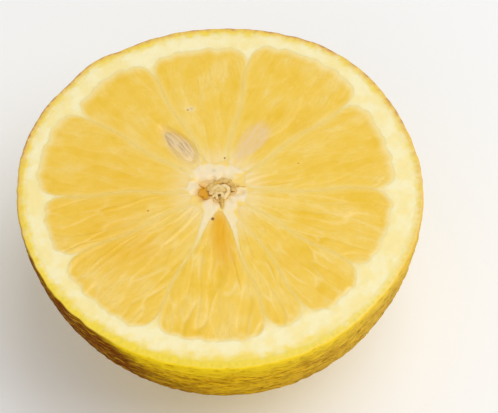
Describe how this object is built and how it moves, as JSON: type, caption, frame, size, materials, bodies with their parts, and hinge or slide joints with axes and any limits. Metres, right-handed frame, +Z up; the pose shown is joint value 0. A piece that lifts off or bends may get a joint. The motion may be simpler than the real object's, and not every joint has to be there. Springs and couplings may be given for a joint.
{
  "type": "lemon half",
  "caption": "Lemon cut across its middle, resting on its stem end with the cut face up: pebbled yellow rind, white pith, juicy segments between thin walls, a hollow core and seeds.",
  "frame": {"origin": "on the surface that the half rests on, under the middle of its outline", "axes": "+Z up, out of the cut face; +X to the right and +Y away from the viewer in the pictured view"},
  "size_m": [0.0652, 0.0648, 0.0351],
  "materials": {
    "rind": "waxy yellow skin dotted with oil-gland pores, satin",
    "pith": "soft spongy white tissue, matt",
    "pulp": "wet translucent juice sacs, glossy",
    "seed": "smooth pale seed coat with fine streaks",
    "calyx": "dry woody brown-green, matt"
  },
  "bodies": {
    "root": {"rind": "rind", "pith": "pith", "segment_01": "pulp", "segment_02": "pulp", "segment_03": "pulp", "segment_04": "pulp", "segment_05": "pulp", "segment_06": "pulp", "segment_07": "pulp", "segment_08": "pulp", "segment_09": "pulp", "segment_10": "pulp", "segment_11": "pulp", "seed_left": "seed", "seed_right": "seed", "seed_tip": "seed", "calyx": "calyx"}
  },
  "joints": []
}
